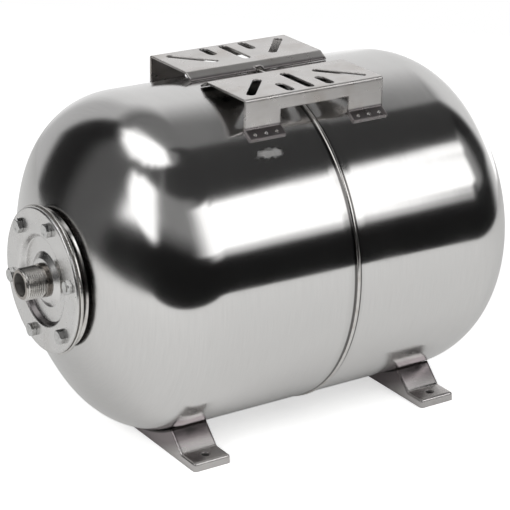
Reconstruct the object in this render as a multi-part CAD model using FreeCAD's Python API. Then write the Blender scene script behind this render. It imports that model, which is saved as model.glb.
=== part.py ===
import FreeCAD, Part
import math
import os

# A horizontal well pressure tank: a stainless shell on two pressed feet, with a
# bolted water flange, a rubber bladder, an air valve and two plates for a pump.
# Lengths are in millimetres and angles in degrees. X runs along the tank from the
# water flange to the air valve, Y runs across the feet, and Z is up from the floor.

# Shell
SHELL_DIAMETER = 350.0
SHELL_WALL = 1.0
BARREL_LENGTH = 300.0
CROWN_RADIUS = 254.4
KNUCKLE_RADIUS = 78.0
FLOOR_CLEARANCE = 5.0
SEAM_WIDTH = 3.6
SEAM_HEIGHT = 1.4

# Neck ring, welded into the front head, and the bolted water flange
HUB_DIAMETER = 137.0
HUB_STANDOUT = 6.7
HUB_INSET = 3.2
RIM_DIAMETER = 151.8
RIM_THICKNESS = 3.2
RIM_EDGE_ROUND = 1.2
NECK_BORE = 104.0
NECK_CHAMFER = 1.5
NECK_WELD_LEG = 2.5
FLANGE_DIAMETER = 149.0
FLANGE_SHEET = 2.5
FLANGE_EDGE_ROUND = 2.2
DISH_DIAMETER = 93.6
DISH_DEPTH = 6.6
DISH_SLOPE = 3.2
DISH_BEND = 1.2
BOSS_DIAMETER = 43.6
BOSS_HEIGHT = 4.2
BOSS_SLOPE = 6.6
BOLT_COUNT = 6
BOLT_CIRCLE = 122.5
BOLT_PHASE = 13.3
BOLT_DIAMETER = 8.0
BOLT_LENGTH = 14.0
BOLT_HEAD_FLATS = 13.0
BOLT_HEAD_HEIGHT = 5.3
BOLT_CROWN_DIAMETER = 12.4
BOLT_CROWN_ANGLE = 30.0
BOLT_HOLE_CLEARANCE = 0.5
TAPPED_HOLE_CLEARANCE = 0.1
TAPPED_HOLE_RUNOUT = 1.0

# Threaded water nipple, G1
NIPPLE_DIAMETER = 33.25
NIPPLE_BORE = 24.0
NIPPLE_REACH = 23.2
NIPPLE_THREAD = 20.0
NIPPLE_CHAMFER = 2.0
NIPPLE_RELIEF_WIDTH = 2.0
NIPPLE_RELIEF_DEPTH = 1.5
NIPPLE_COLLAR_STEP = 0.5

# Rubber bladder
RUBBER_WALL = 1.4
LIP_DIAMETER = 148.0
NECK_CLEARANCE = 0.5
BLADDER_CLEARANCE = 24.0
BLADDER_END_CLEARANCE = 80.0
BLADDER_NECK_LENGTH = 24.0
BLADDER_SHOULDER = 46.0
BLADDER_SHOULDER_BEND = 60.0
BLADDER_LIP_BEND = 1.0
BLADDER_NECK_BEND = 14.0
BLADDER_END_BEND = 74.0

# Pressed feet
FOOT_SPACING = 284.0
FOOT_WIDTH = 43.0
FOOT_SPREAD = 268.0
FOOT_SHEET = 2.0
FOOT_PAD_HEIGHT = 9.0
FOOT_PAD_LENGTH = 24.6
FOOT_END_DRAFT = 1.2
FOOT_SADDLE_HALF = 88.0
FOOT_CORNER = 3.0
FOOT_PAD_BEND = 4.0
FOOT_HOLE_DIAMETER = 9.0
FOOT_HOLE_SPACING = 239.0

# Pump brackets
BRACKET_LENGTH = 166.0
BRACKET_SHEET = 2.0
BRACKET_RISE = 8.0
BRACKET_INNER = 19.5
BRACKET_OUTER = 90.5
BRACKET_BEND = 2.6
BRACKET_LIP_ANGLE = 30.0
BRACKET_LEG_WIDTH = 42.0
BRACKET_BEAM_DEPTH = 15.0
BRACKET_TAB_LENGTH = 13.0
BRACKET_TAB_BEND = 1.0
BRACKET_SEAT = 0.3
SEAM_NOTCH_WIDTH = 9.0
SEAM_NOTCH_DEPTH = 3.4
SLOT_WIDTH = 9.5
SLOT_EDGE = 5.5
LONG_SLOT = 54.0
SHORT_SLOT = 27.0
SHORT_SLOT_OFFSET = 24.0
FAN_SLOT = 56.0
FAN_SLOT_OFFSET = 51.5
FAN_SLOT_ANGLE = 41.0

# Air valve in the rear head
VALVE_FLAT_DIAMETER = 28.0
VALVE_SHANK_DIAMETER = 11.4
VALVE_HOLE_CLEARANCE = 0.15
VALVE_FLANGE_DIAMETER = 20.0
VALVE_FLANGE_THICKNESS = 2.5
VALVE_GASKET_THICKNESS = 2.5
VALVE_GASKET_DIAMETER = 19.0
VALVE_WASHER_THICKNESS = 1.2
VALVE_WASHER_DIAMETER = 19.0
VALVE_NUT_FLATS = 15.0
VALVE_NUT_HEIGHT = 5.0
VALVE_NUT_CLEARANCE = 0.1
VALVE_SHANK_PROUD = 1.8
VALVE_SHANK_TAPER = 1.5
VALVE_STEM_DIAMETER = 7.7
VALVE_STEM_LENGTH = 10.5
VALVE_MOUTH_BORE = 5.3
VALVE_MOUTH_DEPTH = 7.0
VALVE_CHAMBER_BORE = 4.0
VALVE_CHAMBER_DEPTH = 19.5
VALVE_AIR_BORE = 3.0
CORE_RECESS = 1.0
CORE_FIT = 0.05
CORE_BARREL_DIAMETER = 3.5
CORE_BARREL_LENGTH = 15.0
CORE_CHAMBER_BORE = 2.6
CORE_CHAMBER_TOP = 7.5
CORE_LIP = 0.8
CORE_RING_THICKNESS = 1.0
PIN_DIAMETER = 1.2
PIN_GUIDE_CLEARANCE = 0.2
PIN_COLLAR_DIAMETER = 2.3
PIN_COLLAR_THICKNESS = 0.7
PIN_COLLAR_CLEARANCE = 0.2
PIN_PROUD = 0.6
PIN_TRAVEL = 1.2
PIN_CUP_DIAMETER = 3.0
PIN_CUP_THICKNESS = 0.9
PIN_SEAL_THICKNESS = 0.75
PIN_SEAL_DIAMETER = 2.8
PIN_SEAL_CLEARANCE = 0.05
SPRING_WIRE = 0.3
SPRING_TURNS = 4
SPRING_CLEARANCE = 0.1
CAP_DIAMETER = 10.6
CAP_CLEARANCE = 0.1
CAP_SEAT = 0.3
CAP_END = 1.5
CAP_GRIP_COUNT = 10
CAP_GRIP_DIAMETER = 1.0

# Sizes that follow from those above
SHELL_RADIUS = SHELL_DIAMETER / 2
AXIS_HEIGHT = FLOOR_CLEARANCE + SHELL_RADIUS
BRACKET_TOP = SHELL_RADIUS + BRACKET_RISE
HUB_RADIUS = HUB_DIAMETER / 2
RIM_RADIUS = RIM_DIAMETER / 2
NECK_RADIUS = NECK_BORE / 2
KNUCKLE_HEIGHT = SHELL_RADIUS - KNUCKLE_RADIUS
CROWN_DROP = math.sqrt((CROWN_RADIUS - KNUCKLE_RADIUS) ** 2 - KNUCKLE_HEIGHT ** 2)
CROWN_CENTRE = BARREL_LENGTH / 2 - CROWN_DROP
CROWN_ANGLE = math.atan2(KNUCKLE_HEIGHT, CROWN_DROP)


def head_reach(radius, inset=0.0):
    """Distance from the seam to the head's surface at a radius from the axis."""
    return CROWN_CENTRE + math.sqrt((CROWN_RADIUS - inset) ** 2 - radius ** 2)


RIM_BACK = -(head_reach(HUB_RADIUS) + HUB_STANDOUT)
RIM_FACE = RIM_BACK - RIM_THICKNESS
FLANGE_BACK = RIM_FACE - RUBBER_WALL
FLANGE_FACE = FLANGE_BACK - FLANGE_SHEET
DISH_FLOOR = FLANGE_FACE + DISH_DEPTH
BOSS_FACE = DISH_FLOOR - BOSS_HEIGHT
NIPPLE_END = FLANGE_FACE - NIPPLE_REACH
VALVE_OUTSIDE = head_reach(VALVE_FLAT_DIAMETER / 2)
VALVE_INSIDE = head_reach(VALVE_FLAT_DIAMETER / 2, SHELL_WALL)
GASKET_BACK = VALVE_INSIDE - VALVE_GASKET_THICKNESS
WASHER_FACE = VALVE_OUTSIDE + VALVE_WASHER_THICKNESS
NUT_FACE = WASHER_FACE + VALVE_NUT_HEIGHT
SHANK_END = NUT_FACE + VALVE_SHANK_PROUD
STEM_ROOT = SHANK_END + VALVE_SHANK_TAPER
STEM_END = STEM_ROOT + VALVE_STEM_LENGTH
CORE_TOP = STEM_END - CORE_RECESS
CORE_SHOULDER = STEM_END - VALVE_MOUTH_DEPTH
BARREL_END = CORE_TOP - CORE_BARREL_LENGTH
PIN_COLLAR_TOP = CORE_TOP - CORE_CHAMBER_TOP - PIN_COLLAR_CLEARANCE
PIN_COLLAR_BASE = PIN_COLLAR_TOP - PIN_COLLAR_THICKNESS
CAP_MOUTH = STEM_ROOT + CAP_SEAT
CAP_REACH = STEM_END + CAP_SEAT + CAP_END
CENTRE_X = (NIPPLE_END + CAP_REACH) / 2


def arc_edge(side, centre, radius, start, end):
    """Arc in the plane of the axis, with X mirrored for the front head."""
    points = []
    for angle in (start, (start + end) / 2, end):
        x = centre[0] + radius * math.cos(angle)
        height = centre[1] + radius * math.sin(angle)
        points.append(FreeCAD.Vector(side * x, 0, height))
    return Part.Arc(*points).toShape()


def line_edge(start, end):
    """Straight edge between two points."""
    return Part.makeLine(start, end)


def along(x, radius):
    """Point in the half plane that turns about the tank's axis."""
    return FreeCAD.Vector(x, 0, radius)


def across(y, z):
    """Point in the plane across the tank, with z measured from the axis."""
    return FreeCAD.Vector(0, y, z)


def section(edges):
    """Flat face inside a closed run of edges, given in any order."""
    return Part.Face(Part.Wire(Part.__sortEdges__(edges)))


def turned(face):
    """Solid of revolution about the tank's axis."""
    return face.revolve(FreeCAD.Vector(0, 0, 0), FreeCAD.Vector(1, 0, 0), 360)


def turned_outline(points):
    """Turned piece from corner points given as pairs of x and radius."""
    corners = [along(x, radius) for x, radius in points]
    corners.append(corners[0])
    return turned(section([line_edge(a, b) for a, b in zip(corners, corners[1:])]))


def washer(start, end, inner, outer):
    """Flat ring between two stations along the axis."""
    return turned_outline([(start, inner), (start, outer), (end, outer), (end, inner)])


def rod(start, end, radius):
    """Solid cylinder along the axis."""
    place = FreeCAD.Vector(start, 0, 0)
    return Part.makeCylinder(radius, end - start, place, FreeCAD.Vector(1, 0, 0))


def hexagon(start, end, flats):
    """Hexagonal prism along the axis."""
    reach = flats / math.sqrt(3)
    corners = []
    for step in range(7):
        angle = math.radians(60 * step + 30)
        corners.append(FreeCAD.Vector(start, reach * math.cos(angle), reach * math.sin(angle)))
    face = Part.Face(Part.makePolygon(corners))
    return face.extrude(FreeCAD.Vector(end - start, 0, 0))


def folded(corners, bends, offset, place):
    """Edges of a line bent round its corners, moved to its right by an offset."""
    units = []
    for a, b in zip(corners, corners[1:]):
        span = math.hypot(b[0] - a[0], b[1] - a[1])
        units.append(((b[0] - a[0]) / span, (b[1] - a[1]) / span))
    rights = [(v, -u) for u, v in units]
    at = shifted(corners[0], rights[0], offset)
    edges = []
    for corner, bend, before, after, side, next_side in zip(
            corners[1:], bends, units, units[1:], rights, rights[1:]):
        cross = before[0] * after[1] - before[1] * after[0]
        turn = math.atan2(cross, before[0] * after[0] + before[1] * after[1])
        hand = math.copysign(1.0, -turn)
        reach = bend * math.tan(abs(turn) / 2)
        start = shifted(corner, before, -reach)
        end = shifted(corner, after, reach)
        centre = shifted(start, side, hand * bend)
        middle = (side[0] + next_side[0], side[1] + next_side[1])
        size = math.hypot(*middle)
        through = shifted(centre, middle, -hand * (bend - hand * offset) / size)
        begin = shifted(start, side, offset)
        finish = shifted(end, next_side, offset)
        edges.append(line_edge(place(*at), place(*begin)))
        edges.append(Part.Arc(place(*begin), place(*through), place(*finish)).toShape())
        at = finish
    last = shifted(corners[-1], rights[-1], offset)
    edges.append(line_edge(place(*at), place(*last)))
    return edges


def shifted(point, direction, distance):
    """Flat point moved along a direction."""
    return (point[0] + direction[0] * distance, point[1] + direction[1] * distance)


def sheet_face(corners, bends, thickness, place):
    """Section of a folded sheet.

    One face of the sheet runs through the corners, each rounded by its bend
    radius. The other lies the sheet's thickness to the right of that way.
    """
    near = folded(corners, bends, 0.0, place)
    far = folded(corners, bends, thickness, place)
    start_cap = line_edge(far[0].Vertexes[0].Point, near[0].Vertexes[0].Point)
    end_cap = line_edge(near[-1].Vertexes[-1].Point, far[-1].Vertexes[-1].Point)
    return section(near + [end_cap] + far + [start_cap])


def half_shell(side, opening, flat=0.0):
    """One deep-drawn half: barrel, knuckle and crown, with a hole on the axis."""
    half = BARREL_LENGTH / 2
    knuckle = (half, KNUCKLE_HEIGHT)
    crown = (CROWN_CENTRE, 0.0)
    edge_radius = max(opening, flat)
    sides = []
    for inset in (0.0, SHELL_WALL):
        radius = SHELL_RADIUS - inset
        rim_angle = math.asin(edge_radius / (CROWN_RADIUS - inset))
        track = [
            line_edge(along(0, radius), along(side * half, radius)),
            arc_edge(side, knuckle, KNUCKLE_RADIUS - inset, math.pi / 2, CROWN_ANGLE),
            arc_edge(side, crown, CROWN_RADIUS - inset, CROWN_ANGLE, rim_angle),
        ]
        reach = head_reach(edge_radius, inset)
        if flat > opening:
            track.append(line_edge(along(side * reach, flat), along(side * reach, opening)))
        sides.append((track, along(side * reach, opening), along(0, radius)))
    outer, inner = sides
    mouth = line_edge(outer[1], inner[1])
    joint = line_edge(inner[2], outer[2])
    return turned(section(outer[0] + inner[0] + [mouth, joint]))


def seam_weld():
    """Raised bead round the joint of the two halves."""
    left = along(-SEAM_WIDTH / 2, SHELL_RADIUS)
    right = along(SEAM_WIDTH / 2, SHELL_RADIUS)
    top = along(0, SHELL_RADIUS + SEAM_HEIGHT)
    return turned(section([Part.Arc(left, top, right).toShape(), line_edge(right, left)]))


def bolt_places():
    """Centres of the flange bolts, as pairs of y and z from the axis."""
    for index in range(BOLT_COUNT):
        angle = math.radians(BOLT_PHASE + 360.0 / BOLT_COUNT * index)
        yield -BOLT_CIRCLE / 2 * math.cos(angle), BOLT_CIRCLE / 2 * math.sin(angle)


def bored(shape, start, end, radius):
    """Cut the ring of bolt holes through a piece."""
    for y, z in bolt_places():
        hole = rod(start, end, radius)
        hole.translate(FreeCAD.Vector(0, y, z))
        shape = shape.cut(hole)
    return shape


def rounded(shape, faces, radius, rounding):
    """Round off the outer circles of a turned piece that lie in some of its faces."""
    rims = []
    for edge in shape.Edges:
        if isinstance(edge.Curve, Part.Circle) and abs(edge.Curve.Radius - radius) < 0.001:
            if min(abs(edge.Curve.Center.x - face) for face in faces) < 0.001:
                rims.append(edge)
    return shape.makeFillet(rounding, rims)


def neck_ring():
    """Turned ring with a rim outside the head and a hub welded into it."""
    hub_end = -head_reach(HUB_RADIUS) + HUB_INSET
    ring = turned_outline([
        (RIM_FACE + NECK_CHAMFER, NECK_RADIUS),
        (RIM_FACE, NECK_RADIUS + NECK_CHAMFER),
        (RIM_FACE, RIM_RADIUS),
        (RIM_BACK, RIM_RADIUS),
        (RIM_BACK, HUB_RADIUS),
        (hub_end, HUB_RADIUS),
        (hub_end, NECK_RADIUS),
    ])
    ring = rounded(ring, (RIM_FACE, RIM_BACK), RIM_RADIUS, RIM_EDGE_ROUND)
    depth = BOLT_LENGTH - FLANGE_SHEET - RUBBER_WALL + TAPPED_HOLE_RUNOUT
    return bored(ring, RIM_FACE, RIM_FACE + depth, BOLT_DIAMETER / 2 + TAPPED_HOLE_CLEARANCE)


def neck_weld():
    """Fillet weld in the corner between the hub and the front head."""
    root = -head_reach(HUB_RADIUS)
    toe_radius = HUB_RADIUS + NECK_WELD_LEG
    toe = -head_reach(toe_radius)
    root_angle = math.asin(HUB_RADIUS / CROWN_RADIUS)
    toe_angle = math.asin(toe_radius / CROWN_RADIUS)
    return turned(section([
        line_edge(along(root - NECK_WELD_LEG, HUB_RADIUS), along(toe, toe_radius)),
        arc_edge(-1, (CROWN_CENTRE, 0.0), CROWN_RADIUS, toe_angle, root_angle),
        line_edge(along(root, HUB_RADIUS), along(root - NECK_WELD_LEG, HUB_RADIUS)),
    ]))


def water_flange():
    """Pressed cover plate with a sunk dish and a low boss that carries the nipple."""
    edge = FLANGE_DIAMETER / 2
    dish = DISH_DIAMETER / 2
    boss = BOSS_DIAMETER / 2
    corners = [
        (FLANGE_FACE, edge),
        (FLANGE_FACE, dish),
        (DISH_FLOOR, dish - DISH_SLOPE),
        (DISH_FLOOR, boss + BOSS_SLOPE),
        (BOSS_FACE, boss),
        (BOSS_FACE, NIPPLE_DIAMETER / 2),
    ]
    outward = FLANGE_SHEET + DISH_BEND
    bends = [outward, DISH_BEND, DISH_BEND, outward]
    plate = turned(sheet_face(corners, bends, -FLANGE_SHEET, along))
    plate = rounded(plate, (FLANGE_FACE,), edge, FLANGE_EDGE_ROUND)
    return bored(plate, FLANGE_FACE, FLANGE_BACK, BOLT_DIAMETER / 2 + BOLT_HOLE_CLEARANCE)


def water_nipple():
    """Turned nipple, its thread drawn plain at the full diameter."""
    outer = NIPPLE_DIAMETER / 2
    bore = NIPPLE_BORE / 2
    relief = outer - NIPPLE_RELIEF_DEPTH
    collar = outer + NIPPLE_COLLAR_STEP
    relief_start = NIPPLE_END + NIPPLE_THREAD
    relief_end = relief_start + NIPPLE_RELIEF_WIDTH
    return turned_outline([
        (NIPPLE_END, bore),
        (NIPPLE_END, outer - NIPPLE_CHAMFER),
        (NIPPLE_END + NIPPLE_CHAMFER, outer),
        (relief_start, outer),
        (relief_start, relief),
        (relief_end, relief),
        (relief_end, collar),
        (BOSS_FACE, collar),
        (BOSS_FACE, outer),
        (BOSS_FACE + FLANGE_SHEET, outer),
        (BOSS_FACE + FLANGE_SHEET, bore),
    ])


def flange_bolts():
    """Hexagon bolts round the flange, one solid each."""
    top = FLANGE_FACE - BOLT_HEAD_HEIGHT
    head = hexagon(top, FLANGE_FACE, BOLT_HEAD_FLATS)
    crown_radius = BOLT_CROWN_DIAMETER / 2
    cone_radius = crown_radius + BOLT_HEAD_HEIGHT / math.tan(math.radians(BOLT_CROWN_ANGLE))
    crown = turned_outline([
        (top, 0.0),
        (top, crown_radius),
        (FLANGE_FACE, cone_radius),
        (FLANGE_FACE, 0.0),
    ])
    bolt = head.common(crown).fuse(rod(FLANGE_FACE, FLANGE_FACE + BOLT_LENGTH, BOLT_DIAMETER / 2))
    bolts = []
    for y, z in bolt_places():
        copy = bolt.copy()
        copy.translate(FreeCAD.Vector(0, y, z))
        bolts.append(copy)
    return Part.makeCompound(bolts)


def bladder():
    """Moulded rubber bag, its flat lip clamped under the flange."""
    neck = NECK_RADIUS - NECK_CLEARANCE
    lip = LIP_DIAMETER / 2
    body = SHELL_RADIUS - SHELL_WALL - BLADDER_CLEARANCE
    neck_end = RIM_FACE + BLADDER_NECK_LENGTH
    shoulder_end = neck_end + BLADDER_SHOULDER
    far_end = head_reach(0.0, SHELL_WALL) - BLADDER_END_CLEARANCE
    corners = [
        (RIM_FACE, lip),
        (RIM_FACE, neck),
        (neck_end, neck),
        (shoulder_end, body),
        (far_end, body),
        (far_end, 0.0),
    ]
    bends = [BLADDER_LIP_BEND, BLADDER_NECK_BEND, BLADDER_SHOULDER_BEND, BLADDER_END_BEND]
    bag = turned(sheet_face(corners, bends, RUBBER_WALL, along))
    return bored(bag, FLANGE_BACK, RIM_FACE, BOLT_DIAMETER / 2 + BOLT_HOLE_CLEARANCE)


def obround(length, width, height):
    """Slot-shaped prism along Y, centred on the origin and rising from z = 0."""
    half = length / 2 - width / 2
    radius = width / 2
    left = FreeCAD.Vector(-radius, -half, 0)
    right = FreeCAD.Vector(radius, -half, 0)
    far_right = FreeCAD.Vector(radius, half, 0)
    far_left = FreeCAD.Vector(-radius, half, 0)
    near_end = Part.Arc(left, FreeCAD.Vector(0, -half - radius, 0), right).toShape()
    far_end = Part.Arc(far_right, FreeCAD.Vector(0, half + radius, 0), far_left).toShape()
    edges = [near_end, line_edge(right, far_right), far_end, line_edge(far_left, left)]
    return Part.Face(Part.Wire(edges)).extrude(FreeCAD.Vector(0, 0, height))


def foot(centre):
    """Pressed saddle foot, open underneath, with a bolting pad at each end."""
    floor = -AXIS_HEIGHT
    pad = floor + FOOT_PAD_HEIGHT
    end = FOOT_SPREAD / 2
    slope_foot = end - FOOT_END_DRAFT - FOOT_PAD_LENGTH
    saddle = -math.sqrt(SHELL_RADIUS ** 2 - FOOT_SADDLE_HALF ** 2)
    rise = (saddle - pad) / (slope_foot - FOOT_SADDLE_HALF)
    overlap = 2 * FOOT_SHEET
    corners = [
        (-end - overlap * FOOT_END_DRAFT / FOOT_PAD_HEIGHT, floor - overlap),
        (-end + FOOT_END_DRAFT, pad),
        (-slope_foot, pad),
        (-FOOT_SADDLE_HALF + overlap, saddle + overlap * rise),
    ]
    bends = [FOOT_CORNER, FOOT_PAD_BEND]
    outer = foot_block(corners, bends, 0.0, FOOT_WIDTH)
    outer = outer.makeFillet(FOOT_CORNER, [edge for edge in outer.Edges if is_side_edge(edge)])
    outer = outer.cut(shell_cylinder(0.0))
    inner = foot_block(corners, bends, FOOT_SHEET, FOOT_WIDTH - 2 * FOOT_SHEET)
    inner = inner.cut(shell_cylinder(FOOT_SHEET))
    pan = outer.cut(inner).cut(under_floor(floor))
    for side in (-1, 1):
        place = FreeCAD.Vector(0, side * FOOT_HOLE_SPACING / 2, floor)
        pan = pan.cut(Part.makeCylinder(FOOT_HOLE_DIAMETER / 2, 2 * FOOT_PAD_HEIGHT, place))
    pan.translate(FreeCAD.Vector(centre, 0, 0))
    return pan


def foot_block(corners, bends, offset, width):
    """Solid block under a foot's outline, moved inwards by an offset."""
    left = folded(corners, bends, offset, across)
    right = folded(corners, bends, offset, lambda y, z: across(-y, z))
    top = line_edge(left[-1].Vertexes[-1].Point, right[-1].Vertexes[-1].Point)
    bottom = line_edge(left[0].Vertexes[0].Point, right[0].Vertexes[0].Point)
    block = section(left + right + [top, bottom]).extrude(FreeCAD.Vector(width, 0, 0))
    block.translate(FreeCAD.Vector(-width / 2, 0, 0))
    return block


def is_side_edge(edge):
    """Whether an edge of a foot block runs up an end, along a pad or up a slope."""
    box = edge.BoundBox
    return box.XLength < 0.001 and box.YLength < FOOT_SADDLE_HALF


def shell_cylinder(growth):
    """Cylinder of the shell's outside, grown by a distance."""
    return rod(-BARREL_LENGTH, BARREL_LENGTH, SHELL_RADIUS + growth)


def under_floor(floor):
    """Block that fills the space under the feet."""
    corner = FreeCAD.Vector(-FOOT_WIDTH, -FOOT_SPREAD, floor - FOOT_SPREAD)
    return Part.makeBox(2 * FOOT_WIDTH, 2 * FOOT_SPREAD, FOOT_SPREAD, corner)


def lip_length():
    """Length of a bracket's inner lip, from its fold to its seat on the shell."""
    slope = math.radians(BRACKET_LIP_ANGLE)
    y = BRACKET_INNER + BRACKET_SHEET * math.sin(slope)
    z = BRACKET_TOP - BRACKET_SHEET * math.cos(slope)
    seat = SHELL_RADIUS + BRACKET_SEAT
    forward = y * math.cos(slope) + z * math.sin(slope)
    return forward - math.sqrt(forward ** 2 - (y ** 2 + z ** 2 - seat ** 2))


def tab_corners():
    """Start and end of a bracket's foot tab, tangent to the shell at its middle."""
    reach = SHELL_RADIUS + BRACKET_SHEET
    half = BRACKET_TAB_LENGTH / 2
    lean = math.asin(BRACKET_OUTER / math.hypot(reach, half)) + math.atan(half / reach)
    middle = (reach * math.sin(lean), reach * math.cos(lean))
    direction = (math.cos(lean), -math.sin(lean))
    return shifted(middle, direction, -half), shifted(middle, direction, half)


def pump_bracket(side):
    """Folded bracket: sloping lip, slotted plate and a wall standing on two legs."""
    slope = math.radians(BRACKET_LIP_ANGLE)
    length = lip_length()
    lip_end = (BRACKET_INNER - length * math.cos(slope), BRACKET_TOP - length * math.sin(slope))
    tab_start, tab_end = tab_corners()
    corners = [lip_end, (BRACKET_INNER, BRACKET_TOP), (BRACKET_OUTER, BRACKET_TOP), tab_start, tab_end]
    bends = [BRACKET_BEND, BRACKET_BEND, BRACKET_TAB_BEND]
    sheet = sheet_face(corners, bends, BRACKET_SHEET, across)
    bracket = sheet.extrude(FreeCAD.Vector(BRACKET_LENGTH, 0, 0))
    bracket.translate(FreeCAD.Vector(-BRACKET_LENGTH / 2, 0, 0))
    for cutter in [leg_gap(tab_end), seam_notch(lip_end)] + plate_slots():
        bracket = bracket.cut(cutter)
    if side < 0:
        bracket = bracket.mirror(FreeCAD.Vector(0, 0, 0), FreeCAD.Vector(0, 1, 0))
    return bracket


def leg_gap(tab_end):
    """Opening in a bracket's wall between its two legs."""
    width = BRACKET_LENGTH - 2 * BRACKET_LEG_WIDTH
    start = BRACKET_OUTER - BRACKET_SHEET - BRACKET_BEND
    bottom = tab_end[1] - BRACKET_SHEET
    depth = tab_end[0] + BRACKET_SHEET - start
    height = BRACKET_TOP - BRACKET_BEAM_DEPTH - bottom
    return Part.makeBox(width, depth, height, FreeCAD.Vector(-width / 2, start, bottom))


def seam_notch(lip_end):
    """Relief in a bracket's lip where it crosses the seam weld."""
    width = SEAM_NOTCH_WIDTH
    slope = math.radians(BRACKET_LIP_ANGLE)
    depth = SEAM_NOTCH_DEPTH * math.cos(slope) + BRACKET_SHEET
    bottom = lip_end[1] - 2 * BRACKET_SHEET
    corner = FreeCAD.Vector(-width / 2, lip_end[0] - BRACKET_SHEET, bottom)
    return Part.makeBox(width, BRACKET_SHEET + depth, BRACKET_TOP - bottom, corner)


def plate_slots():
    """Five slots through a bracket's plate: one long, two short and two fanned."""
    outer_end = BRACKET_OUTER - SLOT_EDGE
    long_centre = outer_end - LONG_SLOT / 2
    short_centre = outer_end - SHORT_SLOT / 2
    places = [(0.0, long_centre, LONG_SLOT, 0.0)]
    for side in (-1, 1):
        places.append((side * SHORT_SLOT_OFFSET, short_centre, SHORT_SLOT, 0.0))
        places.append((side * FAN_SLOT_OFFSET, long_centre, FAN_SLOT, -side * FAN_SLOT_ANGLE))
    slots = []
    for x, y, length, angle in places:
        slot = obround(length, SLOT_WIDTH, 3 * BRACKET_SHEET)
        slot.rotate(FreeCAD.Vector(0, 0, 0), FreeCAD.Vector(0, 0, 1), angle)
        slot.translate(FreeCAD.Vector(x, y, BRACKET_TOP - 2 * BRACKET_SHEET))
        slots.append(slot)
    return slots


def valve_stem():
    """Turned valve body, clamped through the rear head."""
    shank = VALVE_SHANK_DIAMETER / 2
    stem = VALVE_STEM_DIAMETER / 2
    back = GASKET_BACK - VALVE_FLANGE_THICKNESS
    chamber_end = STEM_END - VALVE_CHAMBER_DEPTH
    return turned_outline([
        (back, VALVE_AIR_BORE / 2),
        (back, VALVE_FLANGE_DIAMETER / 2),
        (GASKET_BACK, VALVE_FLANGE_DIAMETER / 2),
        (GASKET_BACK, shank),
        (SHANK_END, shank),
        (STEM_ROOT, stem),
        (STEM_END, stem),
        (STEM_END, VALVE_MOUTH_BORE / 2),
        (CORE_SHOULDER, VALVE_MOUTH_BORE / 2),
        (CORE_SHOULDER, VALVE_CHAMBER_BORE / 2),
        (chamber_end, VALVE_CHAMBER_BORE / 2),
        (chamber_end, VALVE_AIR_BORE / 2),
    ])


def valve_hole():
    """Radius of the hole that the valve's shank passes through."""
    return VALVE_SHANK_DIAMETER / 2 + VALVE_HOLE_CLEARANCE


def valve_nut():
    """Hexagon nut outside the rear head."""
    bore = rod(WASHER_FACE, NUT_FACE, VALVE_SHANK_DIAMETER / 2 + VALVE_NUT_CLEARANCE)
    return hexagon(WASHER_FACE, NUT_FACE, VALVE_NUT_FLATS).cut(bore)


def valve_core():
    """Valve core: a plug in the stem's mouth with a spring barrel below it."""
    plug = VALVE_MOUTH_BORE / 2 - CORE_FIT
    barrel = CORE_BARREL_DIAMETER / 2
    guide = PIN_DIAMETER / 2 + PIN_GUIDE_CLEARANCE
    chamber = CORE_CHAMBER_BORE / 2
    chamber_top = CORE_TOP - CORE_CHAMBER_TOP
    plug_base = CORE_SHOULDER + CORE_RING_THICKNESS
    return turned_outline([
        (CORE_TOP, guide),
        (CORE_TOP, plug),
        (plug_base, plug),
        (plug_base, barrel),
        (BARREL_END, barrel),
        (BARREL_END, guide),
        (BARREL_END + CORE_LIP, guide),
        (BARREL_END + CORE_LIP, chamber),
        (chamber_top, chamber),
        (chamber_top, guide),
    ])


def valve_pin():
    """Pin pressed to let air pass, with a spring collar and a sealing cup."""
    pin = PIN_DIAMETER / 2
    seal_base = BARREL_END - PIN_SEAL_CLEARANCE - PIN_SEAL_THICKNESS
    cup_base = seal_base - PIN_CUP_THICKNESS
    return turned_outline([
        (cup_base, 0.0),
        (cup_base, PIN_CUP_DIAMETER / 2),
        (seal_base, PIN_CUP_DIAMETER / 2),
        (seal_base, pin),
        (PIN_COLLAR_BASE, pin),
        (PIN_COLLAR_BASE, PIN_COLLAR_DIAMETER / 2),
        (PIN_COLLAR_TOP, PIN_COLLAR_DIAMETER / 2),
        (PIN_COLLAR_TOP, pin),
        (CORE_TOP + PIN_PROUD, pin),
        (CORE_TOP + PIN_PROUD, 0.0),
    ])


def valve_pin_seal():
    """Rubber washer in the pin's cup, closing the barrel's lower end."""
    seal_top = BARREL_END - PIN_SEAL_CLEARANCE
    return washer(seal_top - PIN_SEAL_THICKNESS, seal_top, PIN_DIAMETER / 2, PIN_SEAL_DIAMETER / 2)


def valve_spring():
    """Coil spring under the pin's collar, shown at its pressed length."""
    wire = SPRING_WIRE / 2
    coil = CORE_CHAMBER_BORE / 2 - SPRING_CLEARANCE - wire
    base = BARREL_END + CORE_LIP + PIN_TRAVEL + PIN_COLLAR_CLEARANCE
    height = PIN_COLLAR_BASE - base - SPRING_WIRE
    path = Part.Wire(Part.makeHelix(height / SPRING_TURNS, height, coil))
    circle = Part.makeCircle(wire, FreeCAD.Vector(coil, 0, 0), FreeCAD.Vector(0, 1, 0))
    spring = path.makePipeShell([Part.Wire(circle)], True, True)
    spring.rotate(FreeCAD.Vector(0, 0, 0), FreeCAD.Vector(0, 1, 0), 90)
    spring.translate(FreeCAD.Vector(base + wire, 0, 0))
    return spring


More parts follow.
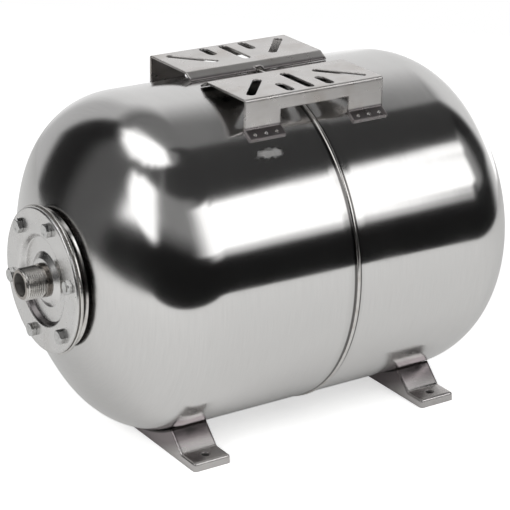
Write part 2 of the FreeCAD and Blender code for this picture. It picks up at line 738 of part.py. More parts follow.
def valve_cap():
    """Screw cap over the valve's mouth, with grip grooves round it."""
    bore = VALVE_STEM_DIAMETER / 2 + CAP_CLEARANCE
    inside = CAP_REACH - CAP_END
    cap = turned_outline([
        (CAP_MOUTH, bore),
        (CAP_MOUTH, CAP_DIAMETER / 2),
        (CAP_REACH - CAP_END / 2, CAP_DIAMETER / 2),
        (CAP_REACH, CAP_DIAMETER / 2 - CAP_END / 2),
        (CAP_REACH, 0.0),
        (inside, 0.0),
        (inside, bore),
    ])
    for index in range(CAP_GRIP_COUNT):
        groove = rod(CAP_MOUTH, inside, CAP_GRIP_DIAMETER / 2)
        groove.translate(FreeCAD.Vector(0, 0, CAP_DIAMETER / 2))
        groove.rotate(FreeCAD.Vector(0, 0, 0), FreeCAD.Vector(1, 0, 0), 360.0 / CAP_GRIP_COUNT * index)
        cap = cap.cut(groove)
    return cap


nodes = {
    "front_shell": half_shell(-1, HUB_RADIUS),
    "rear_shell": half_shell(1, valve_hole(), VALVE_FLAT_DIAMETER / 2),
    "seam_weld": seam_weld(),
    "neck_ring": neck_ring(),
    "neck_weld": neck_weld(),
    "bladder": bladder(),
    "water_flange": water_flange(),
    "water_nipple": water_nipple(),
    "flange_bolts": flange_bolts(),
    "front_foot": foot(-FOOT_SPACING / 2),
    "rear_foot": foot(FOOT_SPACING / 2),
    "left_pump_bracket": pump_bracket(1),
    "right_pump_bracket": pump_bracket(-1),
    "valve_stem": valve_stem(),
    "valve_gasket": washer(GASKET_BACK, VALVE_INSIDE, valve_hole(), VALVE_GASKET_DIAMETER / 2),
    "valve_washer": washer(VALVE_OUTSIDE, WASHER_FACE, valve_hole(), VALVE_WASHER_DIAMETER / 2),
    "valve_nut": valve_nut(),
    "valve_core": valve_core(),
    "valve_core_ring": washer(
        CORE_SHOULDER,
        CORE_SHOULDER + CORE_RING_THICKNESS,
        CORE_BARREL_DIAMETER / 2,
        VALVE_MOUTH_BORE / 2 - CORE_FIT,
    ),
    "valve_pin": valve_pin(),
    "valve_pin_seal": valve_pin_seal(),
    "valve_spring": valve_spring(),
    "valve_cap": valve_cap(),
}

os.makedirs("parts", exist_ok=True)
for name, shape in nodes.items():
    shape.translate(FreeCAD.Vector(-CENTRE_X, 0, AXIS_HEIGHT))
    shape.exportStep(f"parts/{name}.step")
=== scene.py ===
import math

import bmesh
import bpy
from bpy.props import FloatProperty, FloatVectorProperty, IntProperty, PointerProperty
from mathutils import Matrix, Vector


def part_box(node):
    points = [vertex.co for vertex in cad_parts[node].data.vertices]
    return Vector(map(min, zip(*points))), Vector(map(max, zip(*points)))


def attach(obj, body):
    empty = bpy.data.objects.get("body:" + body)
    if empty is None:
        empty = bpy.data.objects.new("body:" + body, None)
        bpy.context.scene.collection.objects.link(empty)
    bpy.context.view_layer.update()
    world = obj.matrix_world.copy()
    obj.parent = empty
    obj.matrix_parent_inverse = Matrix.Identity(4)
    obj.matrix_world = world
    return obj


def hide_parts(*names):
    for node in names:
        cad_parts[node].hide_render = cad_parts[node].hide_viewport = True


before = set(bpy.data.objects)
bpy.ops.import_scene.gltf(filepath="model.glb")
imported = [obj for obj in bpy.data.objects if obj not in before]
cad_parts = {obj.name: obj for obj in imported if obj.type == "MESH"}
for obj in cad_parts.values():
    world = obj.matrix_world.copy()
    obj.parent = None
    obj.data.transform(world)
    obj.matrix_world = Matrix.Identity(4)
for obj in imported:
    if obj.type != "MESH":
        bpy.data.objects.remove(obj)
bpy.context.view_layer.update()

bl_info = {
    "name": "Well pressure tank",
    "version": (1, 0, 0),
    "blender": (4, 5, 0),
    "location": "View3D > Sidebar > Tank",
    "description": "Dresses a horizontal stainless pressure tank and its studio",
    "category": "Object",
}

MM = 0.001
SEAM_X = (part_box("seam_weld")[0][0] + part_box("seam_weld")[1][0]) / 2
AXIS_HEIGHT = (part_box("water_nipple")[0][2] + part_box("water_nipple")[1][2]) / 2
AXIS = Vector((0.0, 0.0, AXIS_HEIGHT))


def linear(value):
    """Linear value of one sRGB channel."""
    if value <= 0.04045:
        return value / 12.92
    return ((value + 0.055) / 1.055) ** 2.4


def paint(code):
    """Linear colour of an sRGB hex code."""
    return tuple(linear(int(code[at:at + 2], 16) / 255) for at in (1, 3, 5))


def length(name, description, millimetres):
    """Length setting, kept in metres."""
    return FloatProperty(
        name=name, description=description, default=millimetres * MM, min=0.0,
        precision=4, unit="LENGTH", subtype="DISTANCE")


def angle_setting(name, description, degrees):
    """Angle setting, kept in radians."""
    return FloatProperty(
        name=name, description=description, default=math.radians(degrees), subtype="ANGLE", unit="ROTATION")


def number(name, description, value):
    """Plain number setting."""
    return FloatProperty(name=name, description=description, default=value)


def colour(name, description, code):
    """Colour setting from an sRGB hex code."""
    return FloatVectorProperty(
        name=name, description=description, default=paint(code), size=3,
        min=0.0, max=1.0, subtype="COLOR")


class TankSizes(bpy.types.PropertyGroup):
    shell_diameter: length("Shell diameter", "Outside of the barrel", 350.0)
    shell_wall: length("Shell wall", "Thickness of the drawn sheet", 1.0)
    barrel_length: length("Barrel length", "Straight part between the knuckles", 300.0)
    crown_radius: length("Crown radius", "Large radius of each head", 254.4)
    knuckle_radius: length("Knuckle radius", "Small radius between barrel and crown", 78.0)
    hub_diameter: length("Hub diameter", "Hole in the front head", 137.0)
    valve_hole: length("Valve hole", "Hole in the rear head", 11.7)
    valve_flat: length("Valve flat", "Flat round the valve's hole", 28.0)
    nipple_diameter: length("Nipple diameter", "Outside of the pipe thread", 33.25)
    nipple_bore: length("Nipple bore", "Bore through the nipple", 24.0)
    thread_pitch: length("Thread pitch", "Eleven turns to the inch", 2.309)
    thread_depth: length("Thread depth", "From crest to root", 1.479)
    thread_length: length("Thread length", "From the nose to the relief", 20.0)
    nose_chamfer: length("Nose chamfer", "Bevel at the nipple's end", 2.0)
    relief_width: length("Relief width", "Groove behind the thread", 2.0)
    flange_sheet: length("Flange sheet", "Plate that the nipple stands in", 2.5)
    bolt_circle: length("Bolt circle", "Diameter through the bolts", 122.5)
    bolt_flats: length("Bolt head flats", "Width of the hexagon", 13.0)
    bolt_height: length("Bolt head height", "Height over the flange", 5.3)
    bolt_shank: length("Bolt shank", "Diameter of the thread", 8.0)
    bolt_phase: angle_setting("Bolt phase", "Turn of the first bolt from level", 13.3)
    bolt_count: IntProperty(name="Bolts", description="Bolts round the flange", default=6, min=3)


class TankFinishes(bpy.types.PropertyGroup):
    polished_steel: colour("Polished steel", "Buffed stainless shell", "#CFCECD")
    sheet_steel: colour("Sheet steel", "Pressed stainless plate", "#D6D5D4")
    # A little darker than the flange's sheet: painted shade for the brackets' darker reflections.
    bracket_steel_with_painted_shade: colour("Bracket steel", "The same sheet, handled and folded", "#D0CDCB")
    # Darker than the flange's sheet: painted shade for the feet's darker look.
    foot_steel_with_painted_shade: colour("Foot steel", "The same sheet, pressed into feet", "#C0BDBC")
    # Brown that paints shade on the feet's slopes and in the flange's dish, and darkens the brackets along
    # the shell.
    darkening_brown: colour("Burnt steel", "Feet and tabs browned by the welder", "#8B8385")
    turned_steel: colour("Turned steel", "Lathe-cut stainless", "#CFCDCA")
    weld_steel: colour("Weld steel", "Brushed weld bead", "#CFCDCB")
    heat_tint: colour("Heat tint", "Straw colour beside a weld", "#9A8C7E")
    # Black that paints shade: beside the seam bead, on the neck ring behind its rim, and along the feet's
    # tops under the shell.
    painted_shade_black: colour("Weld scale", "Dark oxide behind the rim and along the seam", "#2B2725")
    bolt_steel: colour("Bolt steel", "Zinc-plated fasteners", "#CBCBCA")
    brass: colour("Brass", "Turned valve brass", "#C9A55B")
    spring_steel: colour("Spring steel", "Drawn wire", "#8E8C89")
    rubber: colour("Rubber", "Moulded butyl rubber", "#1D1C1B")
    rubber_lip: colour("Rubber lip", "Rubbed edge of the clamped lip", "#77736F")
    cap: colour("Cap plastic", "Moulded polypropylene", "#161616")


class StudioSettings(bpy.types.PropertyGroup):
    view_azimuth: angle_setting("View azimuth", "Turn of the camera about the tank", -33.96)
    view_elevation: angle_setting("View elevation", "Height of the camera as an angle", 20.93)
    view_roll: angle_setting("View roll", "Tilt of the camera about its own line of sight", 1.27)
    view_distance: length("View distance", "From the tank's middle to the camera", 2197.78)
    view_lens: number("Lens", "Focal length in millimetres", 147.15)
    view_shift_x: number("Shift X", "Sideways shift of the frame", -0.0122)
    view_shift_y: number("Shift Y", "Upward shift of the frame", -0.0440)
    table_front: length("Table front", "From under the tank's middle to the table's front edge", 940.0)
    table_right: length("Table right", "From under the tank's middle to the table's right edge", 1330.0)
    table_left: length("Table left", "From under the tank's middle to the table's left edge", 2300.0)
    table_back: length("Table back", "From under the tank's middle to the table's back edge", 1500.0)
    table_turn: angle_setting("Table turn", "Turn of the table's front edge from the tank's axis", -43.0)
    surround_radius: length("Surround radius", "Distance of the panels", 6000.0)
    floor_colour: colour("Floor", "Pale matt table", "#F2F2F1")
    key_power: number("Key power", "Large soft lamp over the front, in watts", 24.0)
    fill_power: number("Fill power", "Large soft lamp at the left, in watts", 30.0)
    room_level: number("Room level", "Brightness of the room's own light", 0.42)


# Meshes

def to_mesh(name, bm):
    """Turn a bmesh into a mesh, and free it."""
    mesh = bpy.data.meshes.new(name)
    bm.to_mesh(mesh)
    bm.free()
    return mesh


def piece(name, bm, body, material, sharp, stands_for=()):
    """Turn a finished bmesh into a smooth object that rides on a body, with edges over an angle sharp."""
    bmesh.ops.remove_doubles(bm, verts=bm.verts[:], dist=0.000002)
    bmesh.ops.recalc_face_normals(bm, faces=bm.faces[:])
    mesh = to_mesh(name, bm)
    mesh.materials.append(material)
    mesh.shade_smooth()
    mesh.set_sharp_from_angle(angle=math.radians(sharp))
    obj = bpy.data.objects.new(name, mesh)
    bpy.context.scene.collection.objects.link(obj)
    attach(obj, body)
    if stands_for:
        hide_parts(*stands_for)
    return obj


def join(bm, part):
    """Add a finished part to a bmesh, and free the part."""
    mesh = to_mesh("part", part)
    bm.from_mesh(mesh)
    bpy.data.meshes.remove(mesh)


def refinish(material, *names):
    """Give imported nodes' objects a better material."""
    for name in names:
        for material_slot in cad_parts[name].material_slots:
            material_slot.material = material


def of_kind(items, kind):
    """Those of a bmesh operator's items that are verts or edges."""
    return [item for item in items if isinstance(item, kind)]


def line_to(bm, vert, x, radius, axis_height=AXIS_HEIGHT):
    """Draw a profile on from a vertex to a station and radius."""
    end = bmesh.ops.extrude_vert_indiv(bm, verts=[vert])["verts"][0]
    end.co = (x, 0.0, axis_height + radius)
    return end


def arc_to(bm, vert, x, radius, angle, steps):
    """Draw a profile on round a centre, towards plus X for a positive angle."""
    swept = bmesh.ops.spin(
        bm, geom=[vert], cent=(x, 0.0, AXIS_HEIGHT + radius), axis=(0.0, 1.0, 0.0),
        angle=angle, steps=steps, use_merge=False, use_duplicate=False)
    return of_kind(swept["geom_last"], bmesh.types.BMVert)[0]


def turn(bm, steps):
    """Turn a whole profile about the tank's axis."""
    bmesh.ops.spin(
        bm, geom=bm.verts[:] + bm.edges[:], cent=AXIS, axis=(1.0, 0.0, 0.0),
        angle=2 * math.pi, steps=steps, use_merge=True, use_duplicate=False)


def turned_ring(bm, points, steps):
    """Closed ring from the corners of its section, as pairs of station and radius."""
    ring = bmesh.new()
    first = ring.verts.new((points[0][0], 0.0, AXIS_HEIGHT + points[0][1]))
    last = first
    for x, radius in points[1:]:
        last = line_to(ring, last, x, radius)
    ring.edges.new((last, first))
    turn(ring, steps)
    bmesh.ops.remove_doubles(ring, verts=ring.verts[:], dist=0.000002)
    bmesh.ops.recalc_face_normals(ring, faces=ring.faces[:])
    join(bm, ring)


def head_centre(sizes):
    """Distance from the seam to the centre of a head's crown."""
    inner = sizes.crown_radius - sizes.knuckle_radius
    rise = sizes.shell_diameter / 2 - sizes.knuckle_radius
    return sizes.barrel_length / 2 - math.sqrt(inner ** 2 - rise ** 2)


def half_shell(sizes, side, opening, flat):
    """Drawn half with its wall: barrel, knuckle and crown, from the seam to a hole."""
    bm = bmesh.new()
    centre = head_centre(sizes)
    knuckle_height = sizes.shell_diameter / 2 - sizes.knuckle_radius
    bend = math.atan2(sizes.barrel_length / 2 - centre, knuckle_height)
    edge = max(opening, flat)
    ends = []
    for inset in (0.0, sizes.shell_wall):
        radius = sizes.shell_diameter / 2 - inset
        crown = sizes.crown_radius - inset
        start = bm.verts.new((SEAM_X, 0.0, AXIS_HEIGHT + radius))
        vert = line_to(bm, start, SEAM_X + side * sizes.barrel_length / 4, radius)
        vert = line_to(bm, vert, SEAM_X + side * sizes.barrel_length / 2, radius)
        vert = arc_to(
            bm, vert, SEAM_X + side * sizes.barrel_length / 2, knuckle_height, side * bend, 28)
        sweep = math.pi / 2 - bend - math.asin(edge / crown)
        vert = arc_to(bm, vert, SEAM_X + side * centre, 0.0, side * sweep, 22)
        if flat > opening:
            vert = line_to(bm, vert, vert.co.x, opening)
        ends.append((start, vert))
    (outer_start, outer_end), (inner_start, inner_end) = ends
    bm.edges.new((outer_start, inner_start))
    bm.edges.new((outer_end, inner_end))
    turn(bm, 224)
    return bm


class TANK_OT_shell(bpy.types.Operator):
    """Draw the two polished halves of the shell"""
    bl_idname = "tank.shell"
    bl_label = "Shell halves"

    def execute(self, context):
        sizes = context.scene.tank_sizes
        steel = polished_steel(context)
        front = half_shell(sizes, -1, sizes.hub_diameter / 2, 0.0)
        rear = half_shell(sizes, 1, sizes.valve_hole / 2, sizes.valve_flat / 2)
        for name, bm in (("front_half", front), ("rear_half", rear)):
            node = name.replace("half", "shell")
            piece(name, bm, "tank", steel, 30, [node])
        return {"FINISHED"}


class TANK_OT_seam(bpy.types.Operator):
    """Lay the weld bead round the seam, with its ripples"""
    bl_idname = "tank.seam"
    bl_label = "Seam bead"

    def execute(self, context):
        sizes = context.scene.tank_sizes
        low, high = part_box("seam_weld")
        half = (high[0] - low[0]) / 2
        radius = sizes.shell_diameter / 2
        crest = (high[2] - low[2]) / 2
        buried = radius - 0.3 * MM
        rounded = (
            (-0.98, 0.35), (-0.7, 0.8), (-0.35, 0.97), (0.0, 1.0), (0.35, 0.97), (0.7, 0.8), (0.98, 0.35))
        bm = bmesh.new()
        first = bm.verts.new((SEAM_X - half, 0.0, AXIS_HEIGHT + buried))
        last = first
        for share, rise in rounded:
            last = line_to(bm, last, SEAM_X + share * half, radius + rise * (crest - radius))
        last = line_to(bm, last, SEAM_X + half, buried)
        bm.edges.new((last, first))
        turn(bm, 360)
        piece("seam_bead", bm, "tank", weld_steel(context), 50, ["seam_weld"])
        return {"FINISHED"}


class TANK_OT_neck(bpy.types.Operator):
    """Finish the neck ring, its weld and the water flange"""
    bl_idname = "tank.neck"
    bl_label = "Neck and flange"

    def execute(self, context):
        refinish(neck_steel(context), "neck_ring")
        refinish(weld_steel(context), "neck_weld")
        refinish(sheet_steel(context), "water_flange")
        return {"FINISHED"}


def threaded_tube(bm, start, finish, outer, depth, pitch, bore, chamfer, steps):
    """Tube with an outside thread, closed at both ends and chamfered at its start."""
    tooth = (
        (0.1, 0.0), (0.18, 0.14), (0.42, 0.86), (0.5, 1.0),
        (0.6, 1.0), (0.68, 0.86), (0.92, 0.14), (1.0, 0.0))
    tube = bmesh.new()
    root = outer - depth
    last = tube.verts.new((start - 1.5 * pitch, 0.0, AXIS_HEIGHT + root))
    for share, rise in tooth:
        last = line_to(tube, last, start + (share - 1.5) * pitch, root + rise * depth)
    turns = math.ceil((finish - start) / pitch) + 3
    bmesh.ops.spin(
        tube, geom=tube.verts[:] + tube.edges[:], cent=AXIS, axis=(1.0, 0.0, 0.0),
        dvec=(pitch / steps, 0.0, 0.0), angle=2 * math.pi * turns, steps=steps * turns,
        use_merge=False, use_duplicate=False)
    bmesh.ops.remove_doubles(tube, verts=tube.verts[:], dist=0.000004)
    for x, side in ((start, -1.0), (finish, 1.0)):
        bmesh.ops.bisect_plane(
            tube, geom=tube.verts[:] + tube.edges[:] + tube.faces[:], dist=0.0000001,
            plane_co=(x, 0.0, 0.0), plane_no=(side, 0.0, 0.0), clear_outer=True)
    for vert in tube.verts:
        spoke = Vector((0.0, vert.co.y, vert.co.z - AXIS_HEIGHT))
        limit = outer - chamfer + (vert.co.x - start)
        if spoke.length > limit:
            vert.co = Vector((vert.co.x, 0.0, AXIS_HEIGHT)) + spoke * (limit / spoke.length)
    open_edges = [edge for edge in tube.edges if edge.is_boundary]
    nose = [edge for edge in open_edges if abs(edge.verts[0].co.x - start) < 0.01 * MM]
    inward = bmesh.ops.extrude_edge_only(tube, edges=nose)["geom"]
    for vert in of_kind(inward, bmesh.types.BMVert):
        spoke = Vector((0.0, vert.co.y, vert.co.z - AXIS_HEIGHT))
        vert.co = Vector((start, 0.0, AXIS_HEIGHT)) + spoke * (bore / spoke.length)
    inner = [edge for edge in of_kind(inward, bmesh.types.BMEdge) if edge.is_boundary]
    through = bmesh.ops.extrude_edge_only(tube, edges=inner)["geom"]
    far = of_kind(through, bmesh.types.BMVert)
    bmesh.ops.translate(tube, verts=far, vec=(finish - start, 0.0, 0.0))
    open_edges = [edge for edge in tube.edges if edge.is_boundary]
    bmesh.ops.triangle_fill(
        tube, use_beauty=True, use_dissolve=False, edges=open_edges, normal=(1.0, 0.0, 0.0))
    bmesh.ops.recalc_face_normals(tube, faces=tube.faces[:])
    join(bm, tube)


class TANK_OT_nipple(bpy.types.Operator):
    """Cut the pipe thread on the water nipple"""
    bl_idname = "tank.nipple"
    bl_label = "Water nipple"

    def execute(self, context):
        sizes = context.scene.tank_sizes
        low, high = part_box("water_nipple")
        outer = sizes.nipple_diameter / 2
        bore = sizes.nipple_bore / 2
        root = outer - sizes.thread_depth
        relief = low[0] + sizes.thread_length
        collar = relief + sizes.relief_width
        shoulder = high[0] - sizes.flange_sheet
        crown = (high[2] - low[2]) / 2
        bm = bmesh.new()
        threaded_tube(
            bm, low[0], relief, outer, sizes.thread_depth, sizes.thread_pitch, bore, sizes.nose_chamfer, 72)
        turned_ring(bm, [
            (relief, bore), (relief, root - 0.1 * MM), (relief + 0.4 * MM, root - 0.4 * MM),
            (collar - 0.4 * MM, root - 0.4 * MM), (collar, root),
            (collar, crown - 0.3 * MM), (collar + 0.3 * MM, crown),
            (shoulder - 0.3 * MM, crown), (shoulder, crown - 0.3 * MM), (shoulder, outer),
            (high[0], outer), (high[0], bore),
        ], 96)
        piece("threaded_nipple", bm, "tank", turned_steel(context), 32, ["water_nipple"])
        return {"FINISHED"}


def hexagon_head(sizes, base, top):
    """Forged head: a turned blank with a chamfered, shallow-dished crown, cut by six flats."""
    bm = bmesh.new()
    corner = sizes.bolt_flats / math.sqrt(3)
    crown = sizes.bolt_flats / 2 * 0.95
    washer_face = sizes.bolt_flats / 2 * 0.97
    step = 0.35 * MM
    turned_ring(bm, [
        (base, 0.0), (base, washer_face), (base - step, washer_face), (base - step, corner),
        (top + (corner - crown) * math.tan(math.radians(30)), corner), (top, crown),
        (top, 0.68 * crown), (top + step, 0.55 * crown), (top + 1.4 * step, 0.25 * crown),
        (top + 1.5 * step, 0.0),
    ], 72)
    for index in range(6):
        angle = math.radians(60 * index)
        normal = Vector((0.0, math.cos(angle), math.sin(angle)))
        cut = bmesh.ops.bisect_plane(
            bm, geom=bm.verts[:] + bm.edges[:] + bm.faces[:], dist=0.0000001,
            plane_co=AXIS + normal * sizes.bolt_flats / 2, plane_no=normal, clear_outer=True)
        bmesh.ops.holes_fill(bm, edges=of_kind(cut["geom_cut"], bmesh.types.BMEdge), sides=0)
    return bm


class TANK_OT_bolts(bpy.types.Operator):
    """Forge the six hexagon bolts of the flange"""
    bl_idname = "tank.bolts"
    bl_label = "Flange bolts"

    def execute(self, context):
        sizes = context.scene.tank_sizes
        low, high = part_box("flange_bolts")
        seat = low[0] + sizes.bolt_height
        blank = hexagon_head(sizes, seat, low[0])
        shank = sizes.bolt_shank / 2
        overlap, chamfer = 0.2 * MM, 0.6 * MM
        turned_ring(blank, [
            (seat - overlap, 0.0), (seat - overlap, shank), (high[0] - chamfer, shank),
            (high[0], shank - chamfer), (high[0], 0.0),
        ], 32)
        mesh = to_mesh("bolt_blank", blank)
        bm = bmesh.new()
        for index in range(sizes.bolt_count):
            angle = sizes.bolt_phase + 2 * math.pi / sizes.bolt_count * index
            bm.from_mesh(mesh)
            new = bm.verts[-len(mesh.vertices):]
            twist = Matrix.Rotation(math.radians(17.0 * index), 3, "X")
            bmesh.ops.rotate(bm, verts=new, cent=AXIS, matrix=twist)
            reach = sizes.bolt_circle / 2
            bmesh.ops.translate(
                bm, verts=new, vec=(0.0, -reach * math.cos(angle), reach * math.sin(angle)))
        bpy.data.meshes.remove(mesh)
        obj = piece(
            "hexagon_bolts", bm, "tank", bolt_steel(context), 24, ["flange_bolts"])
        edge = obj.modifiers.new("worn_edges", "BEVEL")
        edge.width = 0.18 * MM
        edge.segments = 2
        edge.limit_method = "ANGLE"
        edge.angle_limit = math.radians(28)
        return {"FINISHED"}


class TANK_OT_brackets(bpy.types.Operator):
    """Finish the pump brackets and set their spot welds"""
    bl_idname = "tank.brackets"
    bl_label = "Pump brackets"

    def execute(self, context):
        refinish(bracket_steel_with_painted_shade(context), "left_pump_bracket", "right_pump_bracket")
        low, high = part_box("right_pump_bracket")
        middle = (low[0] + high[0]) / 2
        leg_reach, sheet = 62.0 * MM, 2.0 * MM
        tab_y = low[1] + 4.6 * MM
        radius = context.scene.tank_sizes.shell_diameter / 2 + sheet
        tab_z = math.sqrt(radius ** 2 - tab_y ** 2)
        bm = bmesh.new()
        for leg in (-1, 1):
            for offset in (-12.5 * MM, 0.5 * MM, 13.0 * MM):
                x = middle + leg * leg_reach + offset
                for side in (-1, 1):
                    spot_weld(bm, Vector((x, side * tab_y, tab_z)))
        piece("tab_spot_welds", bm, "tank", weld_steel(context), 60)
        return {"FINISHED"}


def spot_weld(bm, place):
    """Small raised nugget with a dimple, square to the shell."""
    nugget = bmesh.new()
    last = nugget.verts.new((0.0, 0.0, 0.10 * MM))
    for radius, height in ((0.6, 0.12), (1.0, 0.42), (1.45, 0.5), (1.9, 0.32), (2.3, -0.5), (0.0, -0.5)):
        last = line_to(nugget, last, radius * MM, height * MM, 0.0)
    bmesh.ops.spin(
        nugget, geom=nugget.verts[:] + nugget.edges[:], cent=(0.0, 0.0, 0.0), axis=(0.0, 0.0, 1.0),
        angle=2 * math.pi, steps=16, use_merge=True, use_duplicate=False)
    bmesh.ops.remove_doubles(nugget, verts=nugget.verts[:], dist=0.000002)
    outward = Vector((0.0, place.y, place.z)).normalized()
    turn_to = outward.to_track_quat("Z", "Y").to_matrix().to_4x4()
    bmesh.ops.transform(nugget, matrix=Matrix.Translation(place + AXIS) @ turn_to, verts=nugget.verts[:])
    join(bm, nugget)


class TANK_OT_feet(bpy.types.Operator):
    """Finish the two pressed feet"""
    bl_idname = "tank.feet"
    bl_label = "Feet"

    def execute(self, context):
        refinish(foot_steel_with_painted_shade(context), "front_foot", "rear_foot")
        return {"FINISHED"}


class TANK_OT_air_valve(bpy.types.Operator):
    """Finish the air valve, its core and its cap"""
    bl_idname = "tank.air_valve"
    bl_label = "Air valve"

    def execute(self, context):
        refinish(valve_brass(context), "valve_stem", "valve_nut", "valve_core", "valve_pin")
        refinish(black_rubber(context), "valve_gasket", "valve_core_ring", "valve_pin_seal", "bladder")
        refinish(bolt_steel(context), "valve_washer")
        refinish(spring_wire(context), "valve_spring")
        refinish(cap_plastic(context), "valve_cap")
        return {"FINISHED"}


# Materials

def add_node(tree, kind, inputs=(), output=0, **settings):
    """Add a node with its settings, and its inputs in order or by name, as values or linked sockets.

    Gives the output of that place or name, or all of them for None.
    """
    node = tree.nodes.new("ShaderNode" + kind)
    for name, value in settings.items():
        setattr(node, name, value)
    for key, value in inputs.items() if isinstance(inputs, dict) else enumerate(inputs):
        if isinstance(value, bpy.types.NodeSocket):
            tree.links.new(value, node.inputs[key])
        else:
            node.inputs[key].default_value = value
    if output is None:
        return node.outputs
    return node.outputs[output] if node.outputs else None


def clear_tree(owner):
    """Empty node tree of a material or a world."""
    owner.use_nodes = True
    owner.node_tree.nodes.clear()
    return owner.node_tree


def made_once(name):
    """Mark a function that builds a finish: its material is made on first use, and kept after that."""
    def keep(build):
        def made(context):
            material = bpy.data.materials.get(name)
            if material is None or "finished" not in material:
                material = bpy.data.materials.new(name)
                material["finished"] = True
                build(context, clear_tree(material))
            return material
        return made
    return keep


def hue(context, name):
    """Linear colour of a finish, as it is set."""
    return tuple(getattr(context.scene.tank_finishes, name))


def shade(base, factor):
    """Darker or lighter copy of a linear colour."""
    return tuple(min(1.0, channel * factor) for channel in base)


def polar(tree):
    """Place on a turned piece, as it is and as station on the axis, radius and turn."""
    place = add_node(tree, "TexCoord", output="Object")
    offset = add_node(tree, "VectorMath", [place, tuple(AXIS)], operation="SUBTRACT")
    spoke = add_node(tree, "VectorMath", [offset, (0.0, 1.0, 1.0)], operation="MULTIPLY")
    radius = add_node(tree, "VectorMath", [spoke], operation="LENGTH", output="Value")
    parts = add_node(tree, "SeparateXYZ", [offset], output=None)
    angle = add_node(tree, "Math", [parts["Y"], parts["Z"]], operation="ARCTAN2")
    return place, add_node(tree, "CombineXYZ", [parts["X"], radius, angle])


def round_axis(tree, place):
    """Way round the tank's axis, which buffing and turning marks follow."""
    offset = add_node(tree, "VectorMath", [place, tuple(AXIS)], operation="SUBTRACT")
    around = add_node(tree, "VectorMath", [(1.0, 0.0, 0.0), offset], operation="CROSS_PRODUCT")
    return add_node(tree, "VectorMath", [around], operation="NORMALIZE")


def mottle(tree, place, cells, detail, harshness=0.5):
    """Mottled pattern with the given cells to the metre, along each coordinate."""
    scaled = add_node(tree, "VectorMath", [place, cells], operation="MULTIPLY")
    inputs = {"Vector": scaled, "Scale": 1.0, "Detail": detail, "Roughness": harshness}
    return add_node(tree, "TexNoise", inputs)


def mottled_colour(tree, pattern, low, high, base, other):
    """Colour that goes from a base towards another as a pattern rises."""
    amount = add_node(tree, "MapRange", [pattern, low, high, 0.0, 1.0])
    inputs = {"Factor": amount, "A": (*base, 1.0), "B": (*other, 1.0)}
    return add_node(tree, "Mix", inputs, data_type="RGBA", output="Result")


def band(tree, value, low, high, soft_low, soft_high, share=1.0):
    """Share of a stain that lies between two values and fades out beyond them."""
    rise = add_node(tree, "MapRange", [value, low - soft_low, low, 0.0, share])
    fall = add_node(tree, "MapRange", [value, high, high + soft_high, 1.0, 0.0])
    return add_node(tree, "Math", [rise, fall], operation="MULTIPLY")


def stained_and_shaded(tree, below, stain_and_shade, masks):
    """Colour of a finish with another colour over it, where the strongest of its masks lets it show: a stain
    on some finishes, and painted shade on others.
    """
    share = masks[0]
    for mask in masks[1:]:
        share = add_node(tree, "Math", [share, mask], operation="MAXIMUM")
    inputs = {"Factor": share, "A": below, "B": (*stain_and_shade, 1.0)}
    return add_node(tree, "Mix", inputs, data_type="RGBA", output="Result")


def surface(tree, inputs):
    """Close a material's tree with its shader."""
    shader = add_node(tree, "BsdfPrincipled", inputs)
    add_node(tree, "OutputMaterial", {"Surface": shader})


def painted_toe_shade(tree, station, middle, half):
    """Painted shade: a soft dark line along a toe of the seam bead."""
    return band(tree, station, middle - half / 2, middle + half / 2, 0.8 * half, 0.8 * half, 0.85)


def clamp_scuffs(tree, place, sizes):
    """1 on the ragged matt patches that the welder's clamp has left below the brackets' front tabs."""
    low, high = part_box("right_pump_bracket")
    ahead, below = 68.0 * MM, 12.5 * MM
    front = ((low[0] + high[0]) / 2 - ahead, 0.0, 0.0)
    reach = abs(low[1]) + below
    middle = (0.0, reach, AXIS_HEIGHT + math.sqrt((sizes.shell_diameter / 2) ** 2 - reach ** 2))
    away = add_node(tree, "VectorMath", [place, front], operation="SUBTRACT")
    away = add_node(tree, "VectorMath", [away], operation="ABSOLUTE")
    away = add_node(tree, "VectorMath", [away, middle], operation="SUBTRACT")
    away = add_node(tree, "VectorMath", [away, (0.4, 1.0, 1.0)], operation="MULTIPLY")
    away = add_node(tree, "VectorMath", [away], operation="LENGTH", output="Value")
    tears = mottle(tree, place, (120.0, 150.0, 150.0), 1.0)
    ragged = add_node(tree, "Math", [tears, 8.0 * MM, away], operation="MULTIPLY_ADD")
    return add_node(tree, "MapRange", [ragged, 6.5 * MM, 10.5 * MM, 1.0, 0.0])


